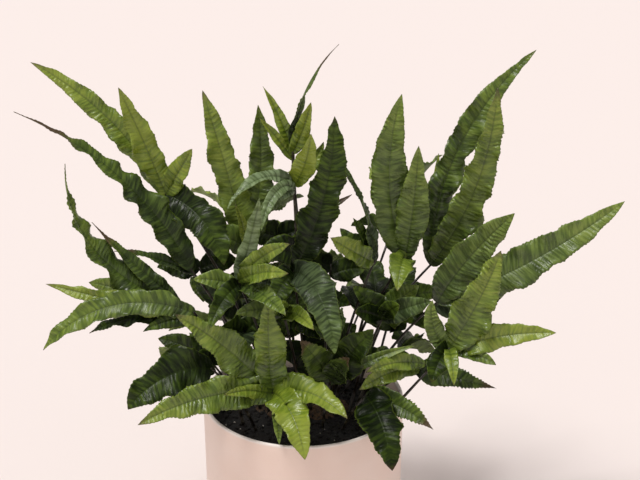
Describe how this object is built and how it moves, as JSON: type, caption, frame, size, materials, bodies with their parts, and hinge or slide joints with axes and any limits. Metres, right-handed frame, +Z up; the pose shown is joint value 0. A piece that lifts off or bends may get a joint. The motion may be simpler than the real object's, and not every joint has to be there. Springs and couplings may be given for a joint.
{
  "type": "potted fern",
  "caption": "Bushy fern with long wavy ribbon-like leaflets on thin dark stalks, growing in a plain pale round ceramic pot.",
  "frame": {"origin": "centre of the pot's flat base", "axes": "+Z up, from the base to the fronds; -Y towards the side that is seen from the front"},
  "size_m": [0.4406, 0.2595, 0.4085],
  "materials": {
    "pot": "satin blush ceramic",
    "soil": "damp potting soil with pale perlite specks",
    "rootstock": "rough, scaly",
    "frond": "living leaf, satin, wrinkled across the midrib"
  },
  "bodies": {
    "root": {"pot": "pot", "soil": "soil", "rootstock": "rootstock", "frond_left_high": "frond", "frond_left_long": "frond", "frond_left_middle": "frond", "frond_left_low": "frond", "frond_front_low": "frond", "frond_middle": "frond", "frond_left_centre": "frond", "frond_left_back_high": "frond", "frond_tall": "frond", "frond_young": "frond", "frond_right_twisted": "frond", "frond_right_upright": "frond", "frond_right_high": "frond", "frond_right_middle": "frond", "frond_right_low": "frond", "frond_right_front": "frond", "frond_front_right": "frond", "frond_front_middle": "frond", "frond_front_left": "frond", "frond_middle_low": "frond", "frond_inner_left": "frond", "frond_inner_middle": "frond", "frond_inner_right": "frond", "frond_inner_right_low": "frond", "frond_inner_left_low": "frond", "frond_heart_right": "frond", "frond_heart_left": "frond", "frond_heart_high": "frond", "frond_heart_side": "frond", "frond_heart_low": "frond", "frond_heart_far_right": "frond", "frond_heart_far_left": "frond", "frond_heart_top": "frond", "frond_back_left_high": "frond", "frond_back_right_high": "frond", "frond_back_middle": "frond", "frond_back_left": "frond", "frond_back_right": "frond", "frond_back_low_left": "frond", "frond_back_low_right": "frond", "frond_back_low": "frond"}
  },
  "joints": []
}
